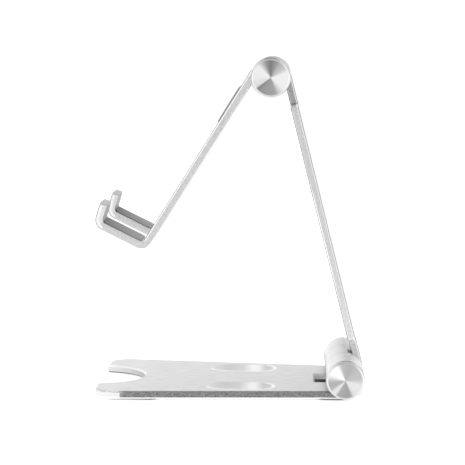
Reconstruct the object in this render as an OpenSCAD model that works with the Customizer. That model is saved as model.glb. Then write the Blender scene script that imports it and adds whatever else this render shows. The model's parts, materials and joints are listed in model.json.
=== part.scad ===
// Folding phone stand: a base plate, an arm and a holder, joined by two friction hinges.
// Origin: middle of the standing surface under the whole stand. +X points to the rear
// hinge, +Y across the stand, +Z up. Lengths in millimetres, angles in degrees.

/* [Pose] */
// Slope of the arm, measured from the base plate round the lower hinge
arm_angle = 104.65; // [96:0.05:110]
// Slope of the holder plate from the horizontal
holder_slope = 58.4; // [54:0.1:64]

/* [Plates] */
// Thickness of the base plate and of the arm plate
plate_t = 3.2; // [2.5:0.1:3.4]
// Distance from the tip of the base plate to the lower hinge axis
base_reach = 101.4; // [96:0.2:110]
// Width of the base plate at its front end
base_front_w = 77; // [74:1:90]
// Radius of the two front corners of the base plate
base_corner_r = 8.5; // [5:0.5:10]

/* [Notch] */
// Radius of the round notch in the front edge of the base plate
notch_r = 20.5; // [16:0.5:22]
// Depth of that notch
notch_depth = 17.8; // [12:0.1:19]

/* [Scoops] */
// Length of each dished recess in the base plate
scoop_l = 29.4; // [24:0.2:32]
// Width of each dished recess
scoop_w = 17.8; // [14:0.2:18.6]
// Depth of each dished recess
scoop_depth = 1.2; // [0.6:0.1:1.6]
// Distance from the lower hinge axis to the middle of each recess
scoop_reach = 43; // [40:0.5:46]
// Distance between the middles of the two recesses
scoop_pitch = 41.2; // [40:0.2:44]

/* [Hinges] */
// Distance between the two hinge axes
hinge_spacing = 125.4; // [116:0.1:130]
// Outer diameter of the hinge knuckles
knuckle_d = 15.8; // [15.4:0.1:16]
// Length of the arm's knuckle, in the middle of each hinge
middle_knuckle_l = 19; // [16:0.5:22]
// Length of the whole hinge without its end caps
hinge_l = 60; // [58:0.5:64]
// Diameter of the hinge screws
screw_d = 5; // [4.6:0.1:5.2]
// Diameter of the end caps
cap_d = 15.2; // [14:0.1:15.4]
// Thickness of the end caps outside the knuckles
cap_t = 2; // [1.6:0.1:2.4]

/* [Holder] */
// Thickness of the holder plate and its hooks
holder_t = 2.9; // [2.4:0.1:3.4]
// Length of the holder plate from the upper hinge axis to its outer bend corner
holder_l = 85.4; // [80:0.2:90]
// Width of the holder plate across its two hooks
hooks_w = 68; // [64:0.5:72]
// Width of each hook
hook_w = 20; // [16:0.5:24]
// Length of the hook floor between its outer corners
hook_floor = 23.3; // [20:0.2:26]
// Height of the hook lip from its outer corner
hook_lip = 9.8; // [8.5:0.1:13]
// Angle between the holder plate and the hook floor
floor_angle = 95.8; // [90:0.2:100]
// Angle between the hook floor and the hook lip
lip_angle = 99.7; // [94:0.1:104]

/* [Pads] */
// Thickness of the silicone feet
foot_t = 0.6; // [0.4:0.1:1.0]
// Thickness of the silicone pads on the hook floors
hook_pad_t = 0.5; // [0.4:0.1:0.7]
// Thickness of the silicone strip on the holder plate
back_pad_t = 1; // [0.6:0.1:1.2]

/* [Hidden] */
$fn = 96;
eps = 0.01;

// Hinge geometry
knuckle_r = knuckle_d / 2;
plate_in = knuckle_r - plate_t;            // inner face of base and arm, from a hinge axis
holder_rise = 0.4;                         // the holder plate stands proud of its knuckles
holder_front = knuckle_r + holder_rise;    // front face of the holder, from its hinge axis
holder_back = holder_front - holder_t;
slide_gap = 0.02;                          // air beside each sliding washer
washer_t = 0.38;
outer_from = middle_knuckle_l / 2 + slide_gap + washer_t;
slot_clear = 0.4;                          // air beside each tongue
slot_half = middle_knuckle_l / 2 + slot_clear;
base_slot = 12.2;                          // from the lower axis to the slot's end
holder_slot = 9.5;                         // from the upper axis to the slot's end
flare_from = 8.2;                          // from an axis to where its plate widens
shoulder_low = 14.2;                        // from the lower axis to the arm's full width
shoulder_high = 13;                       // from the upper axis to the arm's full width
shoulder_r = 2.5;
bush_d = 8;
bush_fit = 0.02;
pin_play = 0.05;                           // radial play of the screws in the bushes
screw_bore = screw_d + 2 * pin_play;

// What each hinge holds, measured from its middle along the axis
head_seat = 22;
head_washer_t = 0.8;
head_l = 3;
head_d = 9;
hex_key = 4;
hex_depth = 1.6;
pocket_d = 10.4;                           // pockets for the screw head, springs and nut
spring_seat = 18;
spring_d = 10;
spring_t = 0.5;
spring_rise = 0.35;
spring_count = 4;
spring_pitch = spring_t + spring_rise;
nut_from = spring_seat + spring_count * spring_pitch;
nut_l = 4;
nut_flats = 8;
thread_end = nut_from + nut_l + 0.8;
spigot_l = 2.6;
spigot_fit = 0.03;
cap_chamfer = 0.55;
cap_cone = 0.35;                           // the turned face rises this much to its rim
turned_r = cap_d / 2 - cap_chamfer;

// Places in the shared frame
lower_z = foot_t + knuckle_r;
lower_x = (base_reach - knuckle_r) / 2;
upper_x = lower_x + hinge_spacing * cos(arm_angle);
upper_z = lower_z + hinge_spacing * sin(arm_angle);
holder_dir = 180 + holder_slope;

// Hooks
bend_in_r = 1.2;                           // inner radius between plate and floor
lip_in_r = 1.6;                            // inner radius between floor and lip
run_over = 0.11;                           // how far each flat run reaches into a bend
bend_over = 2.1;                           // degrees each bend reaches into the flat runs
bend_rise = 0.002;                         // a bend stands this much off its flat runs
plate_turn = 180 - floor_angle;
lip_turn = 180 - lip_angle;
plate_tangent = (bend_in_r + holder_t) * tan(plate_turn / 2);
lip_tangent = (lip_in_r + holder_t) * tan(lip_turn / 2);
plate_run = holder_l - plate_tangent;
floor_run = hook_floor - plate_tangent - lip_tangent;
lip_run = hook_lip - lip_tangent;
lip_tip_r = 1.1;
bend_clear = 1.5;                          // from the cable gap's end to the bend

// Pads
foot_front_l = 20;
foot_front_w = 8;
foot_rear_l = 11.4;
foot_rear_w = 15;
foot_inset = 5.5;                          // from the tip of the base to the front feet
foot_edge = 1.6;                           // from the side edges to the feet
hook_pad_w = hook_w - 2;
pad_climb_lip = 45;                        // degrees that a hook pad follows the lip's bend
pad_climb_plate = 30;                      // and the plate's bend
pad_past_lip = lip_in_r * sin(pad_climb_lip);
pad_past_plate = bend_in_r * sin(pad_climb_plate);
hook_pad_l = floor_run + pad_past_lip + pad_past_plate;
back_pad_w = 36;
back_pad_l = 17;
back_pad_from = 10.2;                      // from the upper axis along the plate
back_pad_sink = 0.3;                       // depth of its pocket
pad_corner_r = 3;

SILVER = "#d5d6d8";
BRIGHT = "#e8e9eb";
STEEL = "#a9adb3";
RUBBER = "#77757a";
NYLON = "#3a3b3f";

// Frame of the lower hinge: its axis along Y
module at_lower() {
    translate([lower_x, 0, lower_z]) children();
}

// Frame of the upper hinge
module at_upper() {
    translate([upper_x, 0, upper_z]) children();
}

// Frame of the arm: X runs from the lower to the upper axis, -Z is the rear side
module arm_frame() {
    at_lower() rotate([0, -arm_angle, 0]) children();
}

// Frame of the holder: X runs down the plate from the upper axis, -Z is the front side
module holder_frame() {
    at_upper() rotate([0, -holder_dir, 0]) children();
}

// A round rod along Y between two stations
module rod(d, from, to) {
    translate([0, from, 0]) rotate([-90, 0, 0]) cylinder(d = d, h = to - from);
}

// The same child on both sides of the middle plane
module both_sides() {
    children();
    mirror([0, 1, 0]) children();
}

// A flat rectangle with round corners, its middle at the origin
module round_rect(l, w, r) {
    square([l - 2 * r, w], center = true);
    square([l, w - 2 * r], center = true);
    for (x = [-1, 1], y = [-1, 1]) translate([x * (l / 2 - r), y * (w / 2 - r)]) circle(r = r);
}

// The material outside a round corner that points along +X and +Y
module corner_waste(r) {
    difference() {
        square(r + eps);
        circle(r = r);
    }
}

// The two outer knuckles of a hinge, with the pockets for its screw and nut
module outer_knuckles() {
    difference() {
        children();
        rod(screw_bore, -hinge_l, hinge_l);
        rod(pocket_d, -hinge_l, -head_seat);
        rod(pocket_d, spring_seat, hinge_l);
    }
}

base_slope = (base_front_w - hinge_l) / 2 / (base_reach - flare_from);

// Half width of the base plate at a distance in front of the lower axis
function base_half(x) = hinge_l / 2 + base_slope * max(0, x - flare_from);

// Outline of the base plate seen from above, with the lower axis at the origin
module base_outline() {
    corner_y = base_front_w / 2;
    taper = atan(base_slope);
    // middle of the corner arc: its radius inside both the front and the slanted side
    arc_x = -base_reach + base_corner_r;
    arc_y = base_half(-arc_x) - base_corner_r / cos(taper);
    difference() {
        polygon([
            [0, -hinge_l / 2], [0, hinge_l / 2], [-flare_from, hinge_l / 2],
            [-base_reach, corner_y], [-base_reach, -corner_y], [-flare_from, -hinge_l / 2]
        ]);
        both_sides() difference() {
            translate([-base_reach - 1, arc_y]) square([base_corner_r + 1, base_corner_r * 2]);
            translate([arc_x, arc_y]) circle(r = base_corner_r);
            translate([arc_x, arc_y]) rotate(-taper) square(base_corner_r * 2);
        }
        translate([-base_reach + notch_depth - notch_r, 0]) circle(r = notch_r);
        translate([-base_slot, -slot_half]) square([base_slot + 1, 2 * slot_half]);
    }
}

module scoop_cut() {
    translate([-scoop_reach, scoop_pitch / 2, -plate_in - scoop_depth])
        linear_extrude(scoop_depth + eps) round_rect(scoop_l, scoop_w, scoop_w / 2 - eps);
}

module base_plate() {
    color(SILVER) at_lower() outer_knuckles() difference() {
        union() {
            translate([0, 0, -knuckle_r]) linear_extrude(plate_t) base_outline();
            both_sides() rod(knuckle_d, outer_from, hinge_l / 2);
        }
        both_sides() scoop_cut();
    }
}

module front_foot(side) {
    x = lower_x - base_reach + foot_inset + foot_front_l / 2;
    y = base_half(base_reach - foot_inset - foot_front_l) - foot_edge - foot_front_w / 2;
    color(RUBBER) translate([x, side * y, 0]) linear_extrude(foot_t)
        round_rect(foot_front_l, foot_front_w, pad_corner_r);
}

module rear_foot(side) {
    x = lower_x - foot_rear_l / 2;
    y = hinge_l / 2 - foot_edge - foot_rear_w / 2;
    color(RUBBER) translate([x, side * y, 0]) linear_extrude(foot_t)
        round_rect(foot_rear_l, foot_rear_w, pad_corner_r);
}

// Outline of the arm plate, with the lower axis at the origin and the arm along X
module arm_outline() {
    from = shoulder_low;
    to = hinge_spacing - shoulder_high;
    translate([(from + to) / 2, 0]) round_rect(to - from, hinge_l, shoulder_r);
    translate([0, -middle_knuckle_l / 2]) square([hinge_spacing, middle_knuckle_l]);
}

module arm_plate() {
    half = middle_knuckle_l / 2;
    color(SILVER) arm_frame() difference() {
        union() {
            translate([0, 0, -knuckle_r]) linear_extrude(plate_t) arm_outline();
            rod(knuckle_d, -half, half);
            translate([hinge_spacing, 0, 0]) rod(knuckle_d, -half, half);
        }
        rod(bush_d, -half - 1, half + 1);
        translate([hinge_spacing, 0, 0]) rod(bush_d, -half - 1, half + 1);
    }
}

// Side view of a bent strip: each run is [length, turn, inner radius], and the strip
// turns towards +Y, where its inner face lies. Runs and bends overlap a little.
module bent_strip(runs, i = 0) {
    run = runs[i];
    last = i == len(runs) - 1;
    from = i == 0 ? 0 : -run_over;
    to = run[0] + (last ? 0 : run_over);
    translate([from, 0]) square([to - from, holder_t]);
    if (!last) {
        r_out = run[2] + holder_t;
        translate([run[0], r_out]) {
            bend_sector(run[2] + bend_rise, r_out + bend_rise, run[1]);
            rotate(run[1]) translate([0, -r_out]) bent_strip(runs, i + 1);
        }
    }
}

// The sector of a bend that starts at the bottom of its circle and turns left
module bend_sector(r_in, r_out, turn) {
    reach = 2 * r_out;
    difference() {
        circle(r = r_out);
        circle(r = r_in);
        rotate(-bend_over) translate([-reach, -reach]) square([reach, 2 * reach]);
        rotate(turn + bend_over) translate([0, -reach]) square([reach, 2 * reach]);
    }
}

// Side view of the holder plate and its hooks, before they are cut to width
module holder_side() {
    difference() {
        bent_strip([
            [plate_run, plate_turn, bend_in_r],
            [floor_run, lip_turn, lip_in_r],
            [lip_run, 0, 0]
        ]);
        lip_end() translate([-lip_tip_r, lip_tip_r]) rotate(-90) corner_waste(lip_tip_r);
    }
}

// Frame of the free end of the lip, in the side view
module lip_end() {
    floor_end() translate([floor_run, lip_in_r + holder_t]) rotate(lip_turn)
        translate([lip_run, -lip_in_r - holder_t]) children();
}

// Frame of the hook floor's start, in the side view
module floor_end() {
    translate([plate_run, bend_in_r + holder_t]) rotate(plate_turn)
        translate([0, -bend_in_r - holder_t]) children();
}

// Places a side view on the holder, centred over a width
module across_holder(w) {
    translate([0, -w / 2, -holder_back]) rotate([-90, 0, 0]) linear_extrude(w) children();
}

// Outline of the holder seen from its front, with the upper axis at the origin
module holder_outline() {
    end = holder_l + hook_lip;
    difference() {
        polygon([
            [0, hinge_l / 2], [flare_from, hinge_l / 2], [holder_l, hooks_w / 2],
            [end, hooks_w / 2], [end, -hooks_w / 2], [holder_l, -hooks_w / 2],
            [flare_from, -hinge_l / 2], [0, -hinge_l / 2]
        ]);
        translate([-1, -slot_half]) square([holder_slot + 1, 2 * slot_half]);
    }
}

// The gap between the hooks, where the charging lead passes
module cable_gap() {
    half = hooks_w / 2 - hook_w;
    from = plate_run - bend_clear;
    depth = holder_l;
    translate([from, -half, -depth]) cube([depth, 2 * half, 2 * depth]);
    // the lip reaches back beside the plate
    translate([from - 2 * hook_lip, -half, -depth])
        cube([depth, 2 * half, depth - 2 * knuckle_r]);
}

module back_pad_block(h) {
    translate([back_pad_from + back_pad_l / 2, 0, -holder_front + back_pad_sink - h])
        linear_extrude(h) round_rect(back_pad_l, back_pad_w, pad_corner_r);
}

module holder_plate() {
    depth = holder_l;
    color(SILVER) holder_frame() outer_knuckles() {
        difference() {
            intersection() {
                across_holder(hooks_w) holder_side();
                translate([0, 0, -depth]) linear_extrude(2 * depth) holder_outline();
            }
            cable_gap();
            back_pad_block(back_pad_t + 1);
        }
        both_sides() rod(knuckle_d, outer_from, hinge_l / 2);
        // the plate rolls into the knuckles at its own height
        both_sides() translate([0, 0, -holder_rise]) rod(knuckle_d, outer_from, hinge_l / 2);
    }
}

module back_pad() {
    color(RUBBER) holder_frame() back_pad_block(back_pad_t);
}

// Side view of a hook pad: it lies on the floor and climbs a little into both bends
module hook_pad_side() {
    translate([0, holder_t]) square([floor_run, hook_pad_t]);
    translate([floor_run, lip_in_r + holder_t])
        bend_sector(lip_in_r - hook_pad_t, lip_in_r - bend_rise, pad_climb_lip);
    mirror([1, 0]) translate([0, bend_in_r + holder_t])
        bend_sector(bend_in_r - hook_pad_t, bend_in_r - bend_rise, pad_climb_plate);
}

// A silicone pad on the floor of one hook
module hook_pad(side) {
    middle = hooks_w / 2 - hook_w / 2;
    height = lip_in_r + holder_t;
    color(RUBBER) holder_frame() translate([0, side * middle, -holder_back])
        rotate([-90, 0, 0]) floor_end() intersection() {
            translate([0, 0, -hook_w / 2]) linear_extrude(hook_w) hook_pad_side();
            translate([(floor_run + pad_past_lip - pad_past_plate) / 2, 0, 0])
                rotate([-90, 0, 0]) linear_extrude(height)
                    round_rect(hook_pad_l, hook_pad_w, pad_corner_r);
        }
}

// An end cap: a dished turned face, a polished chamfer and a spigot in the knuckle
module end_cap() {
    face = hinge_l / 2;
    color(BRIGHT) translate([0, face, 0]) rotate([-90, 0, 0]) rotate_extrude() polygon([
        [0, -spigot_l], [pocket_d / 2 - spigot_fit, -spigot_l],
        [pocket_d / 2 - spigot_fit, 0], [cap_d / 2, 0], [cap_d / 2, cap_t - cap_chamfer],
        [turned_r, cap_t], [0, cap_t - cap_cone]
    ]);
}

module near_cap() {
    mirror([0, 1, 0]) end_cap();
}

// A socket screw along the hinge, its head in the near knuckle
module hinge_screw() {
    head_from = -head_seat - head_washer_t;
    color(STEEL) difference() {
        union() {
            rod(screw_d, head_from, thread_end);
            rod(head_d, head_from - head_l, head_from);
        }
        translate([0, head_from - head_l - eps, 0]) rotate([-90, 0, 0])
            cylinder(d = hex_key / cos(30), h = hex_depth, $fn = 6);
    }
}

// A flat ring round the screw
module ring(d_out, d_in, from, t) {
    difference() {
        rod(d_out, from, from + t);
        rod(d_in, from - 1, from + t + 1);
    }
}

module head_washer() {
    color(STEEL) ring(head_d + 0.6, screw_bore, -head_seat - head_washer_t, head_washer_t);
}

// Conical springs in pairs, cone against cone
module disc_springs() {
    r_in = screw_bore / 2 + 0.15;
    r_out = spring_d / 2;
    color(STEEL) for (i = [0 : spring_count - 1]) {
        in_z = i % 2 == 0 ? spring_rise : 0;
        out_z = spring_rise - in_z;
        translate([0, spring_seat + i * spring_pitch, 0]) rotate([-90, 0, 0])
            rotate_extrude() polygon([
                [r_in, in_z], [r_out, out_z], [r_out, out_z + spring_t], [r_in, in_z + spring_t]
            ]);
    }
}

module hinge_nut() {
    color(STEEL) difference() {
        translate([0, nut_from, 0]) rotate([-90, 0, 0])
            cylinder(d = nut_flats / cos(30), h = nut_l, $fn = 6);
        rod(screw_d + 0.04, nut_from - 1, nut_from + nut_l + 1);
    }
}

// A nylon washer between the middle and an outer knuckle
module friction_washer() {
    color(NYLON) ring(knuckle_d - 0.8, screw_bore + 0.2, outer_from - washer_t, washer_t);
}

// A plain bush pressed into the arm's knuckle
module bush() {
    half = middle_knuckle_l / 2;
    color(NYLON) ring(bush_d - bush_fit, screw_bore, -half, middle_knuckle_l);
}

base_plate();
front_foot(-1);  // foot_front_near
front_foot(1);  // foot_front_far
rear_foot(-1);  // foot_rear_near
rear_foot(1);  // foot_rear_far
arm_plate();
holder_plate();
back_pad();
hook_pad(-1);  // hook_pad_near
hook_pad(1);  // hook_pad_far
at_lower() near_cap();  // lower_cap_near
at_lower() end_cap();  // lower_cap_far
at_lower() hinge_screw();  // lower_hinge_screw
at_lower() head_washer();  // lower_head_washer
at_lower() hinge_nut();  // lower_hinge_nut
at_lower() disc_springs();  // lower_disc_springs
at_lower() mirror([0, 1, 0]) friction_washer();  // lower_washer_near
at_lower() friction_washer();  // lower_washer_far
at_lower() bush();  // lower_bush
at_upper() near_cap();  // upper_cap_near
at_upper() end_cap();  // upper_cap_far
at_upper() hinge_screw();  // upper_hinge_screw
at_upper() head_washer();  // upper_head_washer
at_upper() hinge_nut();  // upper_hinge_nut
at_upper() disc_springs();  // upper_disc_springs
at_upper() mirror([0, 1, 0]) friction_washer();  // upper_washer_near
at_upper() friction_washer();  // upper_washer_far
at_upper() bush();  // upper_bush
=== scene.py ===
"""Looks of the folding phone stand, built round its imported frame: metres, the frame's axes."""
import json
import math

import bmesh
import bpy
from mathutils import Matrix, Vector


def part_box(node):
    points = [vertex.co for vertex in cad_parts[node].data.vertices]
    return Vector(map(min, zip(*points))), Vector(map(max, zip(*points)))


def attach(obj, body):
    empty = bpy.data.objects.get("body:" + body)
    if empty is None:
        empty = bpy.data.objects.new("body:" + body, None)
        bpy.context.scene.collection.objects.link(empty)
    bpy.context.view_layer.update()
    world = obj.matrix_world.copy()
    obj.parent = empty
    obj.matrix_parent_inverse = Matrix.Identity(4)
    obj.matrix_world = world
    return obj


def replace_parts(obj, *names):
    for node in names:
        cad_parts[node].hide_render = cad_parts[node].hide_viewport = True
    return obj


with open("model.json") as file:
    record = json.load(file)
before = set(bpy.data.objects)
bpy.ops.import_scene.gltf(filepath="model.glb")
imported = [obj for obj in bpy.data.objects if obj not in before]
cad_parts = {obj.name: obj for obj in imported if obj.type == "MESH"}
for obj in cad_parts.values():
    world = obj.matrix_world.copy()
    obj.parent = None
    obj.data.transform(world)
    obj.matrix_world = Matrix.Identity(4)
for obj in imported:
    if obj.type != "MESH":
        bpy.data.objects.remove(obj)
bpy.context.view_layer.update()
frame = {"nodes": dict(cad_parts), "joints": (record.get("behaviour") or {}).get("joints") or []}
NODES = frame["nodes"]
JOINTS = {j["name"]: j for j in frame["joints"]}
LOWER = Vector(JOINTS["arm_tilt"]["pos_m"])
UPPER = Vector(JOINTS["holder_tilt"]["pos_m"])
MM = 0.001

# Driving sizes in millimetres, as the CAD has them
KNUCKLE_R = 7.9
HINGE_HALF = 30.0
MIDDLE_HALF = 9.5
OUTER_FROM = 9.9
SLOT_HALF = 9.9
CAP_R = 7.6
CAP_T = 2.0
CAP_CHAMFER = 0.55
CAP_CONE = 0.35
CAP_SPIGOT_R = 5.17
CAP_SPIGOT_L = 2.6
BORE_R = 2.55
POCKET_R = 5.2
HEAD_SEAT = 22.0
SPRING_SEAT = 18.0
BUSH_R = 4.0
PLATE_T = 3.2
FLARE_FROM = 8.2
BASE_REACH = 101.4
BASE_FRONT_HALF = 38.5
BASE_CORNER_R = 8.5
BASE_SLOT = 12.2
NOTCH_R = 20.5
NOTCH_DEPTH = 17.8
SCOOP_L = 29.4
SCOOP_W = 17.8
SCOOP_DEPTH = 1.2
SCOOP_REACH = 43.0
SCOOP_PITCH = 41.2
SHOULDER_LOW = 14.2
SHOULDER_HIGH = 13.0
SHOULDER_R = 2.5
HOLDER_T = 2.9
HOLDER_RISE = 0.4
HOLDER_L = 85.4
HOLDER_SLOT = 9.5
HOLDER_SLOPE = 58.4
HOOKS_HALF = 34.0
HOOK_W = 20.0
HOOK_FLOOR = 23.3
HOOK_LIP = 9.8
FLOOR_ANGLE = 95.8
LIP_ANGLE = 99.7
BEND_R = 1.2
LIP_R = 1.6
GAP_CLEAR = 1.5
PAD_CORNER_R = 3
HOOK_PAD_W = HOOK_W - 2
HOOK_PAD_T = 0.5
CLIMB_LIP = 45.0
CLIMB_PLATE = 30.0
BACK_PAD_FROM = 10.2
BACK_PAD_L = 17.0
BACK_PAD_W = 36.0
BACK_PAD_T = 1.0
BACK_PAD_SINK = 0.3

# Rounded corners that the CAD leaves square, in millimetres
FILLET_R = 1.0
GAP_CORNER_R = 2.0
LIP_CORNER_R = 3.2

# The camera: millimetres from the lower axis, then yaw, pitch and roll in degrees
CAMERA_FROM_AXIS = (-19.54, -756.57, 136.06)
CAMERA_TURN = (2.108, 6.028, 0.637)
CAMERA_LENS = 141.1

# Grey levels round the surroundings, from behind the camera to the backdrop
WORLD_STOPS = [(0.0, 1.0), (0.3, 0.97), (0.6, 0.88), (0.8, 1.05), (1.0, 1.05)]

# Painted reflections on the caps' turned faces, as wedges: (turn from -X as a share of a circle,
# grey)
UPPER_CAP_REFLECTIONS = [(0.0, 0.83), (0.04, 0.76), (0.09, 0.72), (0.108, 0.23), (0.15, 0.31), (0.3, 0.37),
                (0.345, 0.68), (0.385, 0.85), (0.55, 0.87), (0.59, 0.6), (0.66, 0.45), (0.69, 0.33),
                (0.755, 0.19), (0.8, 0.29), (0.84, 0.53), (0.885, 0.87), (1.0, 0.83)]
LOWER_CAP_REFLECTIONS = [(0.0, 0.46), (0.03, 0.38), (0.085, 0.41), (0.105, 0.62), (0.125, 0.7), (0.15, 0.69),
                (0.175, 0.37), (0.3, 0.32), (0.335, 0.62), (0.36, 0.69), (0.46, 0.69), (0.5, 0.53),
                (0.53, 0.46), (0.62, 0.44), (0.7, 0.37), (0.79, 0.42), (0.84, 0.84),
                (0.92, 0.88), (0.96, 0.7), (1.0, 0.46)]

# The same, painted highlights and shade, for the barrels (the crease list with a dark band of
# painted shade where the arm leaves its lower knuckle), for a cap's rim, and for the narrow ring
# between a barrel and its cap
LOWER_BARREL_SHADING = [(0.0, 0.2), (0.06, 0.46), (0.25, 0.55), (0.45, 0.42), (0.55, 0.62), (0.64, 0.78),
                 (0.7, 0.74), (0.75, 0.7), (0.79, 0.82), (0.83, 0.9), (0.92, 0.93), (0.955, 0.75),
                 (0.98, 0.32), (1.0, 0.2)]
CREASE_SHADING = [(0.0, 0.2), (0.06, 0.46), (0.45, 0.42), (0.55, 0.62), (0.66, 0.72), (0.685, 0.06),
                  (0.715, 0.06), (0.73, 0.7), (0.79, 0.82), (0.83, 0.9), (0.92, 0.93), (1.0, 0.3)]
UPPER_BARREL_SHADING = [(0.0, 0.9), (0.25, 0.7), (0.45, 0.55), (0.55, 0.7), (0.62, 0.5), (0.68, 0.42),
                 (0.8, 0.45), (0.87, 0.8), (1.0, 0.9)]
CAP_RIM_SHADING = [(0.0, 0.85), (0.15, 0.72), (0.25, 0.62), (0.38, 0.72), (0.5, 0.92), (0.6, 0.85),
               (0.68, 0.5), (0.8, 0.42), (0.88, 0.7), (1.0, 0.85)]
SEAM_SHADING = [(0.0, 0.62), (0.15, 0.8), (0.3, 0.8), (0.4, 0.4), (0.48, 0.75), (0.58, 0.45),
                (0.66, 0.7), (0.71, 0.28), (0.78, 0.3), (0.84, 0.7), (0.93, 0.85), (1.0, 0.62)]

# Painted reflections along each scoop, as greys from its front to its rear end
SCOOP_REFLECTIONS = [(0.0, 0.8), (0.08, 0.72), (0.3, 0.62), (0.5, 0.68), (0.64, 0.92), (0.72, 0.92),
                 (0.84, 0.62), (0.92, 0.64), (0.97, 0.9), (1.0, 0.95)]

# Edges, finishes and painted light and shade that the CAD doesn't have, in millimetres unless they
# say otherwise
CHAMFER = 0.62        # polished edges of the plates
CHAMFER_LINE = 0.27   # the outer part of them, which has the outline's darker grey, a painted reflection
LIP_LINE = 0.4        # the dark outline round the outside of the lips, a painted reflection
LIP_BAND = 1.5        # and the bright band inside it, a painted highlight
CORNER_FROM = BASE_REACH - BASE_CORNER_R - 2.2    # where the base's edge turns bright: painted light on the front corners
CREASE_L = 8.0        # length of the painted shade in the crease where the arm leaves its lower knuckle
FINE_EDGE = 0.15      # edges that are only broken
KNUCKLE_BREAK = 0.3   # broken edges of the barrels' knuckles
CAP_BREAK = 0.15      # broken inner edge of an end cap
CAP_LIP = 0.12        # width of the narrow lip round a cap's turned face
CAP_LIP_DROP = 0.03   # how far the lip's outer edge lies below the cap's full thickness
CAP_LIP_DIP = 0.05    # and its inner edge
TIP_L = LIP_CORNER_R / 4    # length of each lip's end that has the tip's darker grey
INNER_BY = 1.0        # a wall this far inside the base's sides is the notch's or the slot's
SHOULDER_IN = 4.0     # an edge this far inside the arm's sides is a shoulder's or a tongue's
TONGUE_CLEAR = 0.1    # a shoulder's edge starts this far outside the tongue
SHOULDER_LINE = (0.02, 0.3)  # the stretch above the upper shoulders outlined with a dark line of painted shade
RIM_END = 4.0         # how much of a scoop's rear end keeps a bright rim, a painted highlight
RIM_DEPTH = 0.05      # how far the rim of a scoop has sunk at its inner edge
EASE_HALF = 0.5       # half the length over which the holder's chamfer ends
PAD_BREAK = 0.1       # broken lower edge of a pad
PAD_ROUND = 0.35      # rounded upper edge of a pad
FOOT_ROUND = 0.4      # the same on a foot
SKIN = 0.02           # the rolled plates lie this far under the knuckles' surface
ROLL = 0.9            # angle, in radians, that a plate follows round its knuckle
ROLL_SINK = 1.1       # how far its end has sunk into the knuckle by then
ARC_STEPS = 10
NOTCH_STEPS = 40
ROLL_STEPS = 12
BEND_STEPS = 14
SAME_POINT = 1e-7     # vertices closer than this, in the mesh's own unit, are one

# The section of a scoop: (distance in from its outline, depth)
SCOOP_SECTION = [(0, 0), (1.3, RIM_DEPTH), (2.2, 0.35), (3.6, 0.8), (5.5, 1.1), (7.5, SCOOP_DEPTH)]

# Grains of the blasted finish, as noise scales
BLAST_GRAIN = 2600.0
LINE_GRAIN = 1900.0
EDGE_GRAIN = 1500.0
TOP_GRAIN = 1300.0

# The rest of this block is in metres
FRONT_FADE = (-0.0455, -0.0420)   # where the base's sides turn from bright to dark: painted light on the front corners, painted shade on the sides
SLOT_SHADE_X = 0.037              # middle of the unlit patch of floor under the base's slot, a painted shade
SLOT_SHADE = (0.014, 0.018)       # from its middle: where the glow starts, where it is full
FLOOR_HALF_W = 2.0
FLOOR_NEAR = -0.2
FLOOR_FAR = 3.0
FLOOR_DROP = 0.0002
FLOOR_GLOW = 0.45                 # emission strength


# ---------------------------------------------------------------- geometry
def new_piece(name, bm, body, materials, smooth_deg=28.0):
    """A mesh object from bm, riding on a body, with its materials."""
    bmesh.ops.recalc_face_normals(bm, faces=bm.faces[:])
    mesh = bpy.data.meshes.new(name)
    bm.to_mesh(mesh)
    bm.free()
    for m in materials:
        mesh.materials.append(m)
    mesh.shade_smooth()
    mesh.set_sharp_from_angle(angle=math.radians(smooth_deg))
    piece = bpy.data.objects.new(name, mesh)
    bpy.context.scene.collection.objects.link(piece)
    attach(piece, body)
    return piece


def arc(cx, cy, r, a0, a1, steps=ARC_STEPS):
    """Points on an arc from angle a0 to a1, in degrees."""
    turn = [math.radians(a0 + (a1 - a0) * i / steps) for i in range(steps + 1)]
    return [(cx + r * math.cos(t), cy + r * math.sin(t)) for t in turn]


def inset(loop, d, ease=None):
    """A counter-clockwise loop moved inwards by d, with mitred corners; ease scales d."""
    n = len(loop)
    moved = []
    for i in range(n):
        a, b, c = Vector(loop[i - 1]), Vector(loop[i]), Vector(loop[(i + 1) % n])
        u, v = (b - a).normalized(), (c - b).normalized()
        normal = Vector((-u.y - v.y, u.x + v.x)).normalized()
        scale = d / max(0.3, normal.dot(Vector((-u.y, u.x))))
        if ease:
            scale *= ease(loop[i][0])
        moved.append(tuple(b + normal * scale))
    return moved


def loop_at(bm, loop, w):
    """New vertices for an outline at height w."""
    return [bm.verts.new((x, y, w)) for x, y in loop]


def bridge(bm, low, high, index):
    """A band of faces between two loops of vertices."""
    n = len(low)
    for i in range(n):
        j = (i + 1) % n
        bm.faces.new((low[i], low[j], high[j], high[i])).material_index = index


def cap(bm, loops, index):
    """A flat face inside the first loop and outside the others."""
    edges = []
    for verts in loops:
        for i in range(len(verts)):
            pair = (verts[i], verts[(i + 1) % len(verts)])
            edges.append(bm.edges.get(pair) or bm.edges.new(pair))
    made = bmesh.ops.triangle_fill(bm, use_beauty=True, use_dissolve=False, edges=edges)
    for f in made["geom"]:
        if isinstance(f, bmesh.types.BMFace):
            f.material_index = index


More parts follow.
